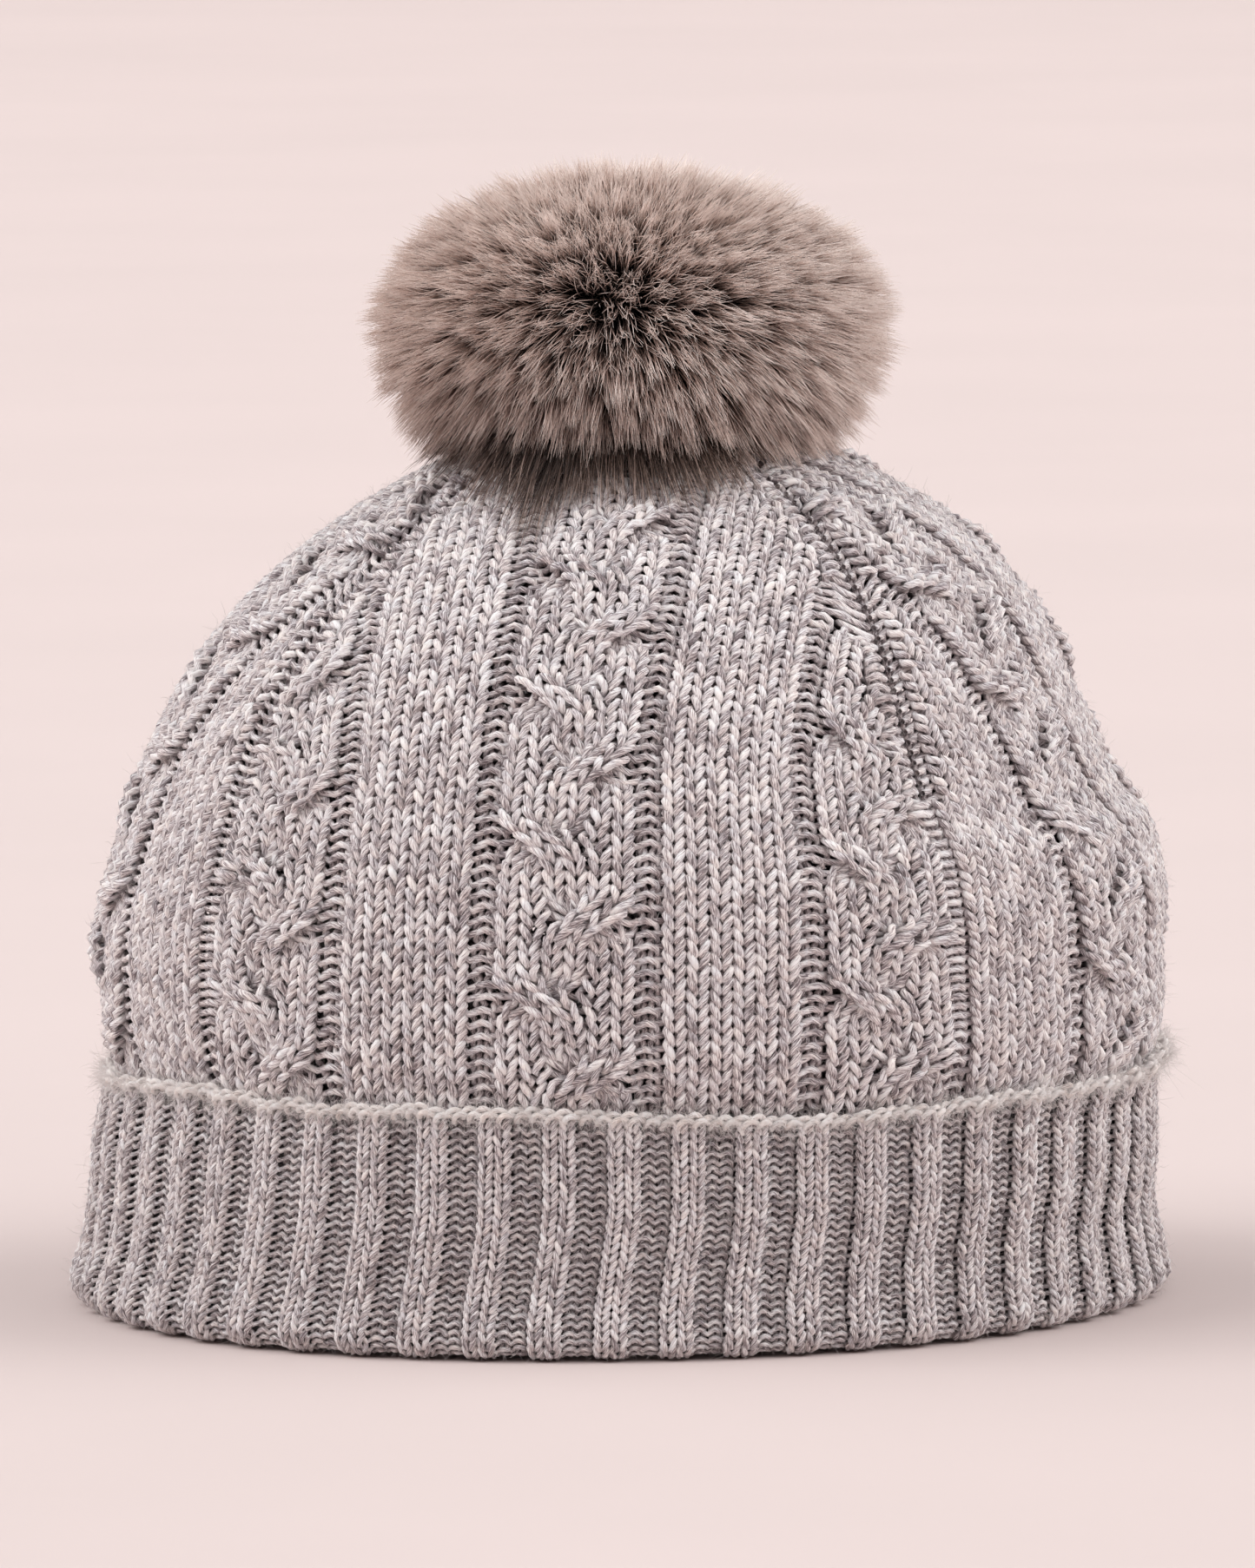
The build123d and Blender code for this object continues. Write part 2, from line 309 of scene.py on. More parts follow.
DECREASE_ROW = next(row for row in range(200) if line_height(row) >= DECREASE_START)
DECREASE_ANGLE = row_angle(DECREASE_ROW)


def body_point(gore, side, row, depth):
    """Point and outward normal at a sideways place on a gore (unit dome), a row and a depth."""
    phi = np.clip(row_angle(row), 0, math.pi / 2 - 1e-4)
    rho = np.sqrt(np.maximum(1 - side**2, 1e-9))
    local = np.stack([side, -rho * np.cos(phi), rho * np.sin(phi)], -1)
    normal = unit(local / np.array([1, 1, DOME_RISE / BODY_RADIUS]))
    point = local * np.array([BODY_RADIUS, BODY_RADIUS, DOME_RISE])
    below = np.minimum(row_angle(row), 0) * (BODY_RADIUS + DOME_RISE) / 2
    point[..., 2] += DOME_BASE + below
    waist = WAIST_PULL * (np.clip(-below / (DOME_BASE - RIB_TOP), 0, 1.2)) ** 2
    point[..., 0] -= normal[..., 0] * waist
    point[..., 1] -= normal[..., 1] * waist
    point = point - normal * depth[..., None]
    turn = gore * GORE
    c, s = np.cos(turn), np.sin(turn)
    for a in (point, normal):
        x, y = a[..., 0], a[..., 1]
        a[..., 0], a[..., 1] = c * x - s * y, s * x + c * y
    return relax(point), normal


def leg_size(yarn, leg):
    """Yarn radius along a knit stitch, full in its legs and thinner where it turns."""
    return yarn * (0.84 + 0.16 * leg)


def stitch_curve(kind, width, height, bulge, splay, steps=STEPS, half=0):
    """One stitch: sideways, upwards and outwards offsets, and how much each point is a leg.

    kind is +1 for knit and -1 for purl. half is -1 or +1 for the half to the left or the right only."""
    if half:
        t = np.linspace(0, np.pi, steps // 2, endpoint=False) + (np.pi if half > 0 else 0)
    else:
        t = circle(steps)
    share = t / (TAU) - 0.5 + splay * np.sin(2 * t)
    arch = 0.14 * height * (2 * share) ** 2 * (kind < 0)
    turns = np.cos(2 * t)
    return width * share, -height * np.cos(t) - arch, -kind * bulge * turns, (1 - turns) / 2


def plait(row, knit):
    """Sideways place in wales and outward lift of a wale of a three-strand plait.

    A strand crosses over into the middle and under to the far side, once every CABLE_ROWS / 2 rows."""
    strand, wale = divmod(knit, 2)
    crossing = (CABLE_START - row) / (CABLE_ROWS / 2)
    phase = (crossing - 2 * strand + 1) % 6 - 1
    sway, lift = 2.0 * np.ones_like(phase), np.zeros_like(phase)
    for at, step, over in ((0, -2, 1), (1, -2, -1), (3, 2, 1), (4, 2, -1)):
        sway = sway + step * smooth(at - CROSSING, at + CROSSING, phase)
        lift = lift + over * np.exp(-(((phase - at) / 0.42) ** 2))
    return sway + (wale - 0.5) * 0.98, lift


def row_stitches(gore, row):
    """Stitches of one row of a gore from left to right, with the row's own scale and its edge.

    The front and back gores have cables in their outer and middle panels, and the others between those."""
    phi = row_angle(row)
    base = line_reach(np.clip(phi, 0, DECREASE_ANGLE)) / math.sin(GORE / 2)
    edge = line_reach(np.clip(phi, 0, STEEPEST))
    crown = row > DECREASE_ROW
    limit = edge - (LINE_PURL if crown else 0)
    stitches = []

    def add(centre, offset, angle, kind, knit=None):
        low, high = (math.sin(centre + offset + sign * angle / 2) for sign in (-1, 1))
        where = base * math.sin(centre + offset)
        if knit is not None:
            where = base * math.sin(centre + plait(float(row), knit)[0] * KNIT_ANGLE)
        width = base * (high - low)
        if not crown or abs(where) + width / 2 <= limit:
            stitches.append(Stitch(at=where, width=width, kind=kind, knit=knit, centre=centre, half=0))

    for panel in range(PANELS):
        centre = (panel - (PANELS - 1) / 2) * PANEL
        cable = (panel - gore) % 2 == 0
        for knit in range(KNITS):
            add(centre, (knit - (KNITS - 1) / 2) * KNIT_ANGLE, KNIT_ANGLE, 1, knit if cable else None)
        if panel:
            add(centre, -PANEL / 2, PURL_ANGLE, -1)
    stitches.sort(key=lambda stitch: stitch.at)
    line_half = LINE_PURL if crown else base * (math.sin(GORE / 2) - math.sin(GORE / 2 - PURL_ANGLE / 2))
    fill_gaps(stitches, edge - line_half)
    left, right = (
        Stitch(at=sign * edge, width=2 * line_half, kind=-1, knit=None, centre=sign, half=-sign)
        for sign in (-1, 1)
    )
    return [left, *stitches, right], base, edge


def fill_gaps(stitches, limit):
    """Widens the stitches beside a gap, so that the fabric closes where strands cross."""
    bounds = [-limit, *[None] * (len(stitches) - 1), limit]
    for index in range(1, len(stitches)):
        left, right = stitches[index - 1], stitches[index]
        low, high = left.at + left.width / 2, right.at - right.width / 2
        bounds[index] = (low + high) / 2 if high > low else None
    for index, stitch in enumerate(stitches):
        low = stitch.at - stitch.width / 2 if bounds[index] is None else bounds[index]
        high = stitch.at + stitch.width / 2 if bounds[index + 1] is None else bounds[index + 1]
        stitch.at, stitch.width = (low + high) / 2, high - low


def body_row(gore, row):
    """Points, normals, yarn radius and depth of one row of a gore, from its left line to its right one."""
    stitches, base, edge = row_stitches(gore, row)
    parts = []
    shakes = rng.normal(0, 1, (len(stitches), 3))
    for stitch, shake in zip(stitches, shakes):
        knitted = stitch.kind > 0
        height, splay = (0.94, 0.264) if knitted else (1.12, 0.26)
        x, y, out, leg = stitch_curve(
            stitch.kind, stitch.width, height, BODY_BULGE, splay, STEPS, stitch.half
        )
        if stitch.half:
            shake = np.zeros(3)
        v = row + y
        side = stitch.at + x + shake[0] * stitch.width * STRAY_SIDE
        lift = np.zeros(len(x))
        if stitch.knit is not None:
            sway, over = plait(v, stitch.knit)
            here = plait(float(row), stitch.knit)[0]
            side = side + base * math.cos(stitch.centre) * (sway - here) * KNIT_ANGLE
            lift = (0.35 + CABLE_LIFT * over) * leg * MM
        if stitch.half:
            side = side + stitch.centre * (line_reach(np.clip(row_angle(v), 0, STEEPEST)) - edge)
        sink = 0.0 if knitted else PURL_SINK
        parts.append((
            side,
            v + shake[1] * STRAY_ROW,
            BODY_DEPTH - out - lift + sink + shake[2] * 0.06 * MM,
            leg_size(BODY_YARN, leg) if knitted else np.full(len(x), PURL_YARN),
            # Depth for the painted shade: purls lie deeper, cable crossings nearer the front.
            BODY_BULGE - out + 0.2 * sink - 0.2 * lift,
        ))
    side, v, depth, size, sunk = (np.concatenate(a) for a in zip(*parts))
    return *body_point(gore, side, v, depth), size, sunk


def knit_body(mat):
    """Closed rows up to the decreases, and above them each gore's own rows up to the hole in the crown."""
    for bottom in range(0, DECREASE_ROW + 1, ROWS_PER_PIECE):
        yarns = Yarns(f"body_rows_{bottom:02d}", BODY_YARN)
        for row in range(bottom, min(bottom + ROWS_PER_PIECE, DECREASE_ROW + 1)):
            parts = [body_row(gore, row) for gore in range(4)]
            points, normals, size, sunk = (np.concatenate(a) for a in zip(*parts))
            yarns.add(points, normals, True, size, sunk)
            halo.add(points, normals, size)
        yarns.build(mat, "hat", "wool_body", "body_wall")
    last = DECREASE_ROW
    while BODY_RADIUS * math.cos(row_angle(last)) > CROWN_HOLE:
        last += 1
    for gore, name in enumerate(("front", "right", "back", "left")):
        yarns = Yarns(f"gore_knit_{name}", BODY_YARN)
        for row in range(DECREASE_ROW + 1, last):
            points, normals, size, sunk = body_row(gore, row)
            yarns.add(points, normals, False, size, sunk, end=0.9)
            halo.add(points, normals, size)
        yarns.build(mat, "hat", "wool_body", f"crown_gore_{name}")


# ---- Halo of loose fibres ----
class Halo:
    """Loose fibres that stand off the yarns they were spun into."""

    def __init__(self):
        self.points, self.normals, self.sizes = [], [], []

    def add(self, points, normals, size):
        self.points.append(points)
        self.normals.append(normals)
        self.sizes.append(np.broadcast_to(size, len(points)))

    def build(self, name, slot, count, length, mat):
        points, normals, sizes = (np.concatenate(a) for a in (self.points, self.normals, self.sizes))
        pick = rng.integers(0, len(points), count)
        root = points[pick] + normals[pick] * (sizes[pick] * 0.8)[:, None]
        direction = unit(rng.normal(0, 1, (count, 3)) + normals[pick] * 0.7)
        reach = length * np.exp(rng.normal(0, 0.4, count))
        tip = root + direction * reach[:, None]
        for end in (root, tip):
            end[:, 2] = np.maximum(end[:, 2], 0.2 * MM)
        bend = unit(rng.normal(0, 1, (count, 3))) * (0.25 * reach)[:, None]
        piece = needles(name, root, tip, bend, 0.024 * MM * np.array([1.0, 0.9, 0.4]), mat)
        place(piece, "hat", slot)


def needles(name, root, tip, bend, thick, mat, tone=None, pale=1.0):
    """Tapered hairs from root to tip, as one mesh. thick is the radius at each ring.

    tone is how light each hair is, and pale how far the tips go towards their lightest colour."""
    count, rings, sides = len(root), len(thick), 3
    t = np.linspace(0, 1, rings)[:, None]
    path = root[:, None] + (tip - root)[:, None] * t + bend[:, None] * np.sin(np.pi * t)
    direction = unit(tip - root)
    helper = np.where(np.abs(direction[:, 2:]) > 0.9, [[1.0, 0, 0]], [[0, 0, 1.0]])
    across = unit(np.cross(direction, helper))
    up = np.cross(across, direction)
    turn = (TAU * np.arange(sides) / sides)[:, None]
    ring = np.cos(turn) * across[:, None] + np.sin(turn) * up[:, None]
    verts = path[:, :, None] + thick[:, None, None] * ring[:, None]
    base = (np.arange(count) * rings * sides)[:, None, None]
    k = np.arange(rings - 1)[None, :, None]
    s = np.arange(sides)[None, None, :]
    s1 = (s + 1) % sides
    low, high = base + k * sides, base + (k + 1) * sides
    quads = np.stack(np.broadcast_arrays(low + s, high + s, high + s1, low + s1), -1).reshape(-1, 4)
    piece = mesh_object(name, verts.reshape(-1, 3), quads, mat)
    if tone is not None:
        values = np.ones((count, rings, sides, 4), np.float32)
        values[..., 0] = t
        values[..., 1] = tone[:, None, None]
        values[..., 2] = pale
        fill(piece.data.color_attributes.new("hair", "FLOAT_COLOR", "POINT").data, "color", values)
    ids = np.stack(np.broadcast_arrays(np.arange(count)[:, None, None], k, s), -1).reshape(-1, 3)
    bake_layout(piece, ids, rings - 1, sides)
    return piece


halo = Halo()
edge_halo = Halo()


# ---- Rib ----
RIB_REPEATS = 52
RIB_KNIT_SHARE = 0.26
RIB_PURL_SHARE = 0.5 - RIB_KNIT_SHARE
RIB_STITCHES = ((RIB_KNIT_SHARE, 1), (RIB_KNIT_SHARE, 1), (RIB_PURL_SHARE, -1), (RIB_PURL_SHARE, -1))
RIB_PHASE = 0.35
RIB_BULGE = 0.48 * MM
RIDGE = 1.0 * MM
BAND_RIDGE = 0.5 * MM
BAND_RADIUS = -rib_low[0] - 2.1 * MM
FOLD_TOP = 3.9 * MM
CUFF_TOP = cuff_high[2] - 0.4 * MM


def cuff_radius(z):
    """Middle of the turned-up layer at a height. It flares towards the fold."""
    top, flare = edge_high[0] - 2.0 * MM, cuff_high[0] - 2.3 * MM
    return top + (flare - top) * (1 - smooth(2 * MM, 13 * MM, z))


def rib_profile():
    """Middle of the rib from the top of the band down, round the fold and up to the top of the cuff.

    Columns are the distance along it, radius, height, and the radial and upward parts of its outer side."""
    band = [(BAND_RADIUS, z, -1.0, 0.0) for z in np.linspace(rib_high[2] + 0.6 * MM, FOLD_TOP, 60)[:-1]]
    start = cuff_radius(FOLD_TOP)
    middle, half, drop = (start + BAND_RADIUS) / 2, (start - BAND_RADIUS) / 2, FOLD_TOP - 1.4 * MM
    fold = []
    for angle in np.linspace(0, math.pi, 40):
        c, s = math.cos(angle), math.sin(angle)
        fold.append((middle - half * c, FOLD_TOP - drop * s, -c, -s))
    cuff = [(cuff_radius(z), z, 1.0, 0.0) for z in np.linspace(FOLD_TOP, CUFF_TOP, 60)[1:]]
    table = np.array(band + fold + cuff)
    step = np.hypot(np.diff(table[:, 0]), np.diff(table[:, 1]))
    return np.column_stack([np.concatenate([[0], np.cumsum(step)]), table])


RIB_PATH = rib_profile()


def ridge_wave(angle):
    """Height of the knit ridges round the rib, from -1 in a valley to 1 on a ridge."""
    phase = angle * RIB_REPEATS / (TAU) + RIB_PHASE
    return np.tanh(2.4 * (np.cos(TAU * (phase - RIB_KNIT_SHARE)) - 0.03))


def rib_point(angle, along, out):
    """Point and normal of the rib at an angle round the hat, a distance along it and a rise off it."""
    radius, height, radial, upward = (np.interp(along, RIB_PATH[:, 0], RIB_PATH[:, c]) for c in (1, 2, 3, 4))
    beyond = np.maximum(along - RIB_PATH[-1, 0], 0)
    r, z = radius + radial * out, height + upward * out + beyond
    point = np.stack([np.sin(angle) * r, -np.cos(angle) * r, z], 1)
    normal = np.stack([np.sin(angle) * radial, -np.cos(angle) * radial, upward], 1)
    return settle_cuff(point, radial), normal


def settle_cuff(point, radial):
    """The cuff stands away a little unevenly and its edge waves."""
    angle = np.arctan2(point[:, 1], point[:, 0])
    share = np.clip(point[:, 2] / cuff_high[2], 0, 1.1) ** 2 * np.clip(radial, 0, 1)
    out = relax(point)
    out[:, 2] += share * MM * (0.7 * np.sin(3 * angle + 1.3) + 0.5 * np.sin(7 * angle))
    return out


def rib_row(along, steps, ridge):
    """One course of 2x2 rib: points, normals, yarn radius and depth."""
    repeat = TAU / RIB_REPEATS
    parts = []
    for index in range(RIB_REPEATS):
        start = (index - RIB_PHASE) * repeat
        for share, kind in RIB_STITCHES:
            width = share * repeat
            height = 0.94 if kind > 0 else 1.16
            x, y, out, leg = stitch_curve(kind, width, height * RIB_ROW, RIB_BULGE, 0.25, steps)
            shake = rng.normal(0, 1, 3)
            parts.append((
                start + width / 2 + x + shake[0] * width * STRAY_SIDE,
                along + y + shake[1] * RIB_ROW * STRAY_ROW,
                out + shake[2] * 0.05 * MM,
                leg_size(RIB_YARN, leg) if kind > 0 else np.full(steps, RIB_PURL_YARN),
                RIB_BULGE - out,
            ))
            start += width
    angle, path, out, size, sunk = (np.concatenate(a) for a in zip(*parts))
    wave = ridge_wave(angle)
    flat = np.abs(np.interp(path, RIB_PATH[:, 0], RIB_PATH[:, 3]))
    point, normal = rib_point(angle, path, out + ridge * wave * (0.32 + 0.68 * flat))
    # Extra painted shade in the valleys between the ridges.
    return point, normal, size, sunk + 0.34 * ridge * (1 - wave)


def rib_knit(mat):
    """The rib, row by row. Rows on the band replace it, and rows from the fold up replace the cuff."""
    fold_start = rib_high[2] + 0.6 * MM - FOLD_TOP
    rows = int(RIB_PATH[-1, 0] / RIB_ROW)
    band_rows = int(fold_start / RIB_ROW)
    first = RIB_PATH[-1, 0] - (rows - 0.5) * RIB_ROW
    for start, stop, name, node, steps, ridge in (
        (0, band_rows, "band_rows", "rib_band", 8, BAND_RIDGE),
        (band_rows, rows, "cuff_rows", "cuff_turn_up", STEPS, RIDGE),
    ):
        for bottom in range(start, stop, ROWS_PER_PIECE):
            yarns = Yarns(f"{name}_{bottom - start:02d}", RIB_YARN, SIDES if steps == STEPS else 5)
            for row in range(bottom, min(bottom + ROWS_PER_PIECE, stop)):
                rise = ridge + (BAND_RIDGE - ridge) * smooth(5, 0, row - start)
                points, normals, size, sunk = rib_row(first + row * RIB_ROW, steps, rise)
                yarns.add(points, normals, True, size, sunk)
                if node == "cuff_turn_up":
                    halo.add(points, normals, size)
            yarns.build(mat, "hat", "wool_rib", node)


def bind_off(mat):
    """Chain of slanted loops along the top of the cuff, looser than the rows below it."""
    count, thick = RIB_REPEATS * 4, 0.5 * MM
    yarns = Yarns("bind_off_chain", thick)
    t = circle(count * STEPS)
    local = t * count
    uneven = np.interp(t, np.linspace(0, TAU, count + 1), np.resize(rng.normal(0, 1, count), count + 1))
    top = RIB_PATH[-1, 0]
    strands = ((0.0, 0.75, 0.75, 0.35), (np.pi, 0.15, 0.6, 0.85), (np.pi / 2, 0.5, 0.5, -0.5))
    for shift, rise, swing, front in strands:
        angle = t + 1.15 * np.sin(local + shift) / count
        along = top + (rise + swing * np.cos(local + shift) + 0.34 * uneven) * MM
        out = (front + 0.5 * np.cos(local + shift + 0.8) + 0.25 * uneven) * MM
        points, normals = rib_point(angle, along, out + 0.75 * RIDGE * ridge_wave(angle))
        yarns.add(points, normals, True, thick, 0.2 * MM)
        edge_halo.add(points, normals, thick)
        halo.add(points, normals, thick)
    yarns.build(mat, "hat", "wool_rib", "bind_off_edge")


# ---- Seams, threads and label ----
SEAM_TURN = math.radians(135)


def overcast(yarns, line, normals, across):
    """Yarn wound over a seam, from a fine line of points along it."""
    pitch, half_width, rise = 1.6 * MM, 1.25 * MM, 0.5 * MM
    length = np.concatenate([[0], np.cumsum(np.linalg.norm(np.diff(line, axis=0), axis=1))])
    s = np.linspace(0, length[-1], int(length[-1] / pitch * 10))
    turn = TAU * s / pitch
    at, n, a = (
        np.stack([np.interp(s, length, v[:, c]) for c in range(3)], 1) for v in (line, normals, across)
    )
    points = at + a * (half_width * np.cos(turn))[:, None] + n * (rise * np.sin(turn))[:, None]
    yarns.add(points, n, False, None, (rise * (1 - np.sin(turn))) * 0.6)


def seam_line(azimuth, start):
    """Line against the inside of the hat at an azimuth, from a height up to the seam's end."""
    outline = []
    seam_depth = 3.15 * MM
    rise, reach = DOME_RISE - seam_depth, BODY_RADIUS - seam_depth
    if start < DOME_BASE:
        inner_rib = BAND_RADIUS - 1.1 * MM
        outline += [(inner_rib, z) for z in np.linspace(start, RIB_TOP, 30)]
        for p in np.linspace(0.95, 0.05, 8):
            outline.append((reach - WAIST_PULL * p * p, DOME_BASE - (DOME_BASE - RIB_TOP) * p))
        start = DOME_BASE
    low = math.asin((start - DOME_BASE) / rise)
    high = math.acos(14 * MM / reach)
    outline += [(reach * math.cos(a), DOME_BASE + rise * math.sin(a)) for a in np.linspace(low, high, 60)]
    radius, height = np.array(outline).T
    line = relax(polar(azimuth, radius, height))
    tangent = unit(np.gradient(line, axis=0))
    across = np.broadcast_to([-math.sin(azimuth), math.cos(azimuth), 0.0], line.shape)
    return line, unit(np.cross(tangent, across)), across


def seams(mat):
    """Yarn over the side seam, and over the decrease lines of the other three quarters."""
    for name, node, quarters, start in (
        ("side_seam_yarn", "side_seam", (0,), seam_low[2] + 1 * MM),
        ("dart_seam_yarn", "dart_seams", (1, 2, 3), DECREASE_START),
    ):
        yarns = Yarns(name, 0.42 * MM)
        for quarter in quarters:
            overcast(yarns, *seam_line(SEAM_TURN + quarter * GORE, start))
        yarns.build(mat, "hat", "wool_thread", node)


def twisted_ring(name, plies, pitch, body, slot, node, mat):
    """Closed ring of plied yarn in the place of a plain one."""
    low, high = span(node)
    thick = high[2] - low[2]
    radius = high[0] - thick / 2
    turns = round(TAU * radius / pitch)
    strand = thick / 2 * (0.5 if plies == 2 else 0.464)
    t = circle(turns * 16)
    yarns = Yarns(name, strand, 8)
    for ply in range(plies):
        turn = t * turns + TAU * ply / plies
        r = radius + (thick / 2 - strand) * np.cos(turn)
        z = (low[2] + high[2]) / 2 + (thick / 2 - strand) * np.sin(turn)
        points = polar(t, r, z)
        yarns.add(points, np.broadcast_to(UP, points.shape), True)
    yarns.build(mat, body, slot, node)


LABEL_OUT = np.array([math.cos(SEAM_TURN), math.sin(SEAM_TURN), 0.0])
LABEL_SIDE = np.array([-LABEL_OUT[1], LABEL_OUT[0], 0.0])
LABEL_WIDTH = 14 * MM
LABEL_LENGTH = label_high[2] - label_low[2]
LABEL_FACE = ((label_low[:2] + label_high[:2]) / 2) @ LABEL_OUT[:2]


def label_point(side, down, out):
    """Point of the care label from its top edge, as arrays in metres."""
    return (
        LABEL_OUT * (LABEL_FACE + out)[..., None]
        + LABEL_SIDE * np.asarray(side)[..., None]
        + UP * (label_high[2] - down)[..., None]
    )


def care_label(mat):
    """Blank woven tape with a folded top, selvedges and a cut lower edge that curls a little."""
    across, down = 57, 121
    u, v = np.meshgrid(np.linspace(-1, 1, across), np.linspace(0, 1, down))
    inward = -1 * MM * (0.55 * v**3 * u**2 + 0.25 * v**2)
    hem = 0.16 * MM * (v * LABEL_LENGTH < 5 * MM)
    selvedge = 0.05 * MM * (np.abs(u) > 0.9)
    weave = 0.02 * MM * np.sin(v * LABEL_LENGTH / (0.25 * MM))
    ragged = 0.12 * MM * np.sin(37 * u) * (v > 0.995)
    half = LABEL_WIDTH / 2 * (1 - 0.006 * np.cos(9 * v))
    faces = []
    for sign in (-1, 1):
        out = inward + sign * (0.13 * MM + hem + selvedge + weave)
        faces.append(label_point(u * half, v * LABEL_LENGTH + ragged, out))
    verts = np.concatenate([f.reshape(-1, 3) for f in faces])
    k, s = np.meshgrid(np.arange(down - 1), np.arange(across - 1), indexing="ij")
    a, b = (k * across + s).ravel(), (k * across + s + 1).ravel()
    sheet = np.stack([a, b, b + across, a + across], 1)
    rim = np.concatenate([
        np.arange(across - 1),
        np.arange(down - 1) * across + across - 1,
        (down - 1) * across + np.arange(across - 1, 0, -1),
        np.arange(down - 1, 0, -1) * across,
    ])
    after = np.roll(rim, -1)
    total = across * down
    edge = np.stack([rim, after, after + total, rim + total], 1)
    quads = np.concatenate([sheet, sheet[:, ::-1] + total, edge])
    piece = mesh_object("care_label_tape", verts, quads, mat)
    place(piece, "label", "label_tape", "care_label")


def label_thread(mat):
    """Loops of sewing thread that tack the label's folded top to the seam."""
    yarns = Yarns("label_tacks", 0.17 * MM, 8)
    deep = label_high[2] - stitch_low[2]
    t = circle(24)
    for index in range(8):
        side = (index - 3.5) / 7 * 9 * MM
        down = deep / 2 + (deep / 2 - 0.2 * MM) * np.cos(t)
        out = 1.35 * MM + 0.5 * MM * np.sin(t)
        points = label_point(side + 0.25 * MM * np.cos(t), down, out)
        yarns.add(points, np.broadcast_to(LABEL_OUT, points.shape), True)
    yarns.build(mat, "hat", "sewing_thread", "label_stitches")


def socket_ties(mat):
    """Four bars of thread over the socket's flange."""
    yarns = Yarns("socket_ties", 0.13 * MM)
    flange = socket_high[0]
    low, high, reach = tie_low[2] + 0.14 * MM, tie_high[2] - 0.14 * MM, tie_high[0] - 0.15 * MM
    s = np.linspace(0, 1, 20)
    r = flange - 1.5 * MM + (reach - flange + 1.5 * MM) * np.sin(s * np.pi / 2)
    z = low + (high - low) * (1 - np.cos(s * np.pi / 2)) ** 3
    for quarter in range(4):
        radial = polar(quarter * GORE, 1, 0)
        side = np.cross(UP, radial)
        for strand in range(5):
            shift = (strand - 2) * 0.25 * MM
            points = radial * r[:, None] + side * shift + UP * z[:, None]
            yarns.add(points, unit(radial - np.broadcast_to([0, 0, 0.8], points.shape)), end=0.9)
    yarns.build(mat, "pompom_base", "sewing_thread", "socket_stitches")


# ---- Pelt and stuffing ----
def turned_mesh(name, outline, mat, steps, wobble=None):
    """Form turned round the axis from (radius, height) points.

    With wobble(angle, index), which pushes them outwards, the outline is closed."""
    outline = np.array(outline)
    angle = circle(steps)[None, :]
    count = len(outline)
    push = wobble(angle, np.arange(count)[:, None]) if wobble else 0.0
    verts = polar(angle, outline[:, :1] + push, outline[:, 1:]).reshape(-1, 3)
    bands = count if wobble else count - 1
    k = np.repeat(np.arange(bands), steps)
    s = np.tile(np.arange(steps), bands)
    k1, s1 = (k + 1) % count, (s + 1) % steps
    quads = np.stack([k * steps + s, k * steps + s1, k1 * steps + s1, k1 * steps + s], 1)
    return mesh_object(name, verts, quads, mat)


PELT_PLY = 1.4 * MM
PELT_NECK = 6.5 * MM
PLEAT = 0.45 * MM


def pelt_outline(inset):
    """(radius, height) of the drawn-up pelt's outside, moved in by an inset, from its neck to its top."""
    radius, middle = pelt_high[0] - inset, (pelt_low[2] + pelt_high[2]) / 2 + 0.5 * MM
    low, high = pelt_low[2] + inset, pelt_high[2] - inset
    outline = []
    for a in np.linspace(0, math.pi / 2, 16):
        reach = PELT_NECK + (radius - PELT_NECK) * math.sin(a)
        outline.append((reach, middle - (middle - low) * math.cos(a)))
    for a in np.linspace(0, math.pi / 2, 24)[1:]:
        outline.append((max(radius * math.cos(a), 0.05 * MM), middle + (high - middle) * math.sin(a)))
    return outline


def pelt(mat):
    """Hide gathered into pleats round its neck."""
    outside, inside = pelt_outline(0), pelt_outline(PELT_PLY)
    count = len(outside)

    def pleats(angle, index):
        ring = np.where(index < count, index, 2 * count - 1 - index)
        gather = np.clip(1 - ring / 14, 0, 1) ** 2
        return PLEAT * gather * (np.cos(22 * angle) + 0.4 * np.cos(9 * angle + 1)) - PLEAT * gather

    piece = turned_mesh("pelt_hide", outside + inside[::-1], mat, 144, pleats)
    place(piece, "pompom", "hide_leather", "pompom_pelt")


def stuffing(mat):
    """Lumpy ball of fibre that fills the pelt."""
    inset = pelt_high[0] - stuffing_high[0] + 0.1 * MM
    outline = pelt_outline(inset)
    bottom = [(r, outline[0][1]) for r in np.linspace(0.05 * MM, PELT_NECK, 6)[:-1]]

    def lumpy(angle, index):
        fade = np.sin(np.pi * np.clip(index / (len(outline) + 4), 0, 1))
        uneven = 1 + 0.5 * np.sin(5 * angle + index * 0.7) + 0.5 * np.sin(11 * angle - index)
        return -0.3 * MM * fade * uneven

    piece = turned_mesh("fibre_ball", bottom + outline, mat, 96, lumpy)
    place(piece, "pompom", "fibre_fill", "stuffing")


# ---- Pompom ----
FUR_MIDDLE = np.array([0, 0, fur_high[2] - 26.5 * MM])
# From the fur's middle to its roots, and to its tips above and below.
FUR_ROOTS = np.array([pelt_high[0] * 0.96, pelt_high[0] * 0.96, 10.5 * MM])
FUR_REACH = fur_high[0] * 1.055
FUR_TOP = fur_high[2] - FUR_MIDDLE[2] + 0.6 * MM
FUR_BOTTOM = 37 * MM
FUR_PIECES, STRANDS, LOCKS = 4, 14500, 700
# Azimuth and level of each parting in degrees, and how far its hairs are pushed aside.
PARTINGS = ((-95, 8, 11 * MM), (-78, 5, 7 * MM), (-62, 4, 5 * MM))


def directions(azimuth, level):
    """Unit directions at an azimuth from +X and a level above the horizon."""
    return polar(azimuth, np.cos(level), np.sin(level))


